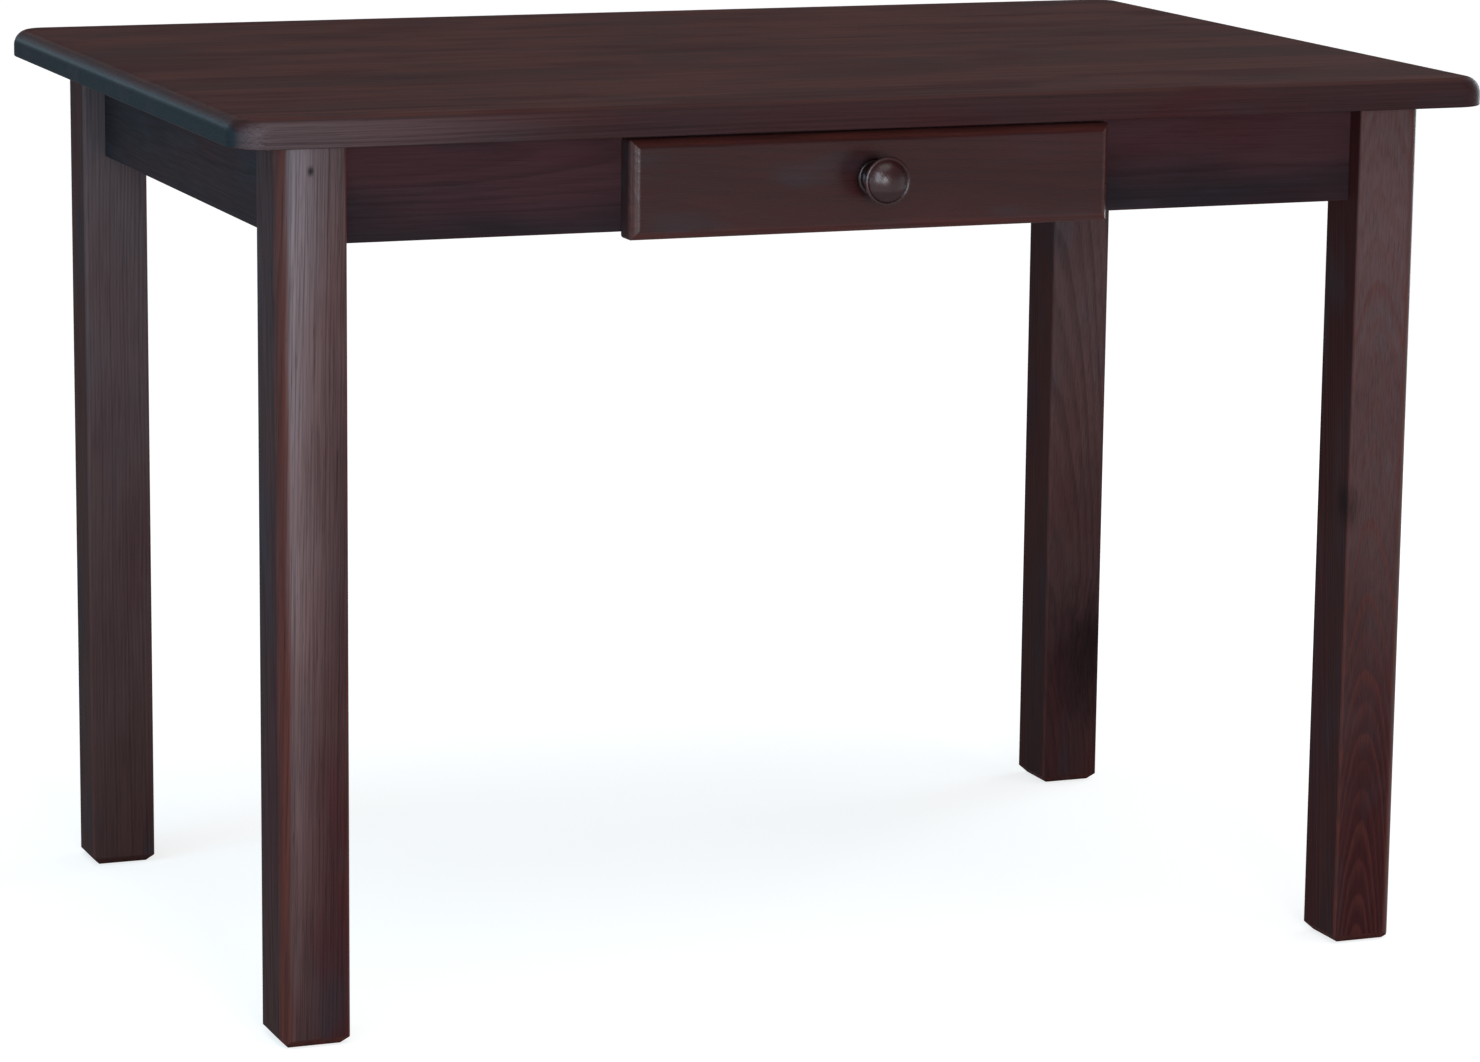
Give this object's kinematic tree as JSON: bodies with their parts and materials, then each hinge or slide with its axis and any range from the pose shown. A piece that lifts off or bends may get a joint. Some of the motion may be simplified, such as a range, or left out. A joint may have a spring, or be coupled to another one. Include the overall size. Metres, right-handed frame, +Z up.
{
  "type": "kitchen table with drawer",
  "caption": "Rectangular stained pine kitchen table on square legs, with a rounded top edge and a sliding drawer with a turned knob in its long front apron.",
  "frame": {"origin": "on the floor, below the middle of the table top", "axes": "+X along the length of the table, -Y towards the drawer front, +Z up"},
  "size_m": [1.1, 0.75, 0.76],
  "materials": {
    "stained_pine": "dark red-brown stain under satin lacquer",
    "raw_pine": "planed, unfinished",
    "plywood": "sanded, unfinished",
    "beech": "turned, unfinished",
    "zinc_steel": "zinc plated"
  },
  "bodies": {
    "table_frame": {"top_panel": "stained_pine", "leg_front_left": "stained_pine", "leg_front_right": "stained_pine", "leg_back_left": "stained_pine", "leg_back_right": "stained_pine", "front_apron": "stained_pine", "back_apron": "stained_pine", "left_apron": "stained_pine", "right_apron": "stained_pine", "corner_block_front_left": "raw_pine", "corner_block_front_right": "raw_pine", "corner_block_back_left": "raw_pine", "corner_block_back_right": "raw_pine", "corner_block_screws": "zinc_steel", "hanger_bolts": "zinc_steel", "hanger_washers": "zinc_steel", "hanger_nuts": "zinc_steel", "top_buttons": "raw_pine", "top_button_screws": "zinc_steel", "drawer_runner_left": "raw_pine", "drawer_runner_right": "raw_pine", "runner_dowels": "beech", "drawer_kicker_left": "raw_pine", "drawer_kicker_right": "raw_pine", "kicker_screws": "zinc_steel"},
    "drawer": {"drawer_front": "stained_pine", "drawer_side_left": "raw_pine", "drawer_side_right": "raw_pine", "drawer_back": "raw_pine", "drawer_bottom": "plywood", "drawer_bottom_screws": "zinc_steel", "drawer_knob": "stained_pine", "knob_screw": "zinc_steel"}
  },
  "joints": [
    {"name": "drawer_slide", "type": "slide", "parent": "table_frame", "child": "drawer", "axis": [0, -1, 0], "range_m": [0, 0.3]}
  ]
}
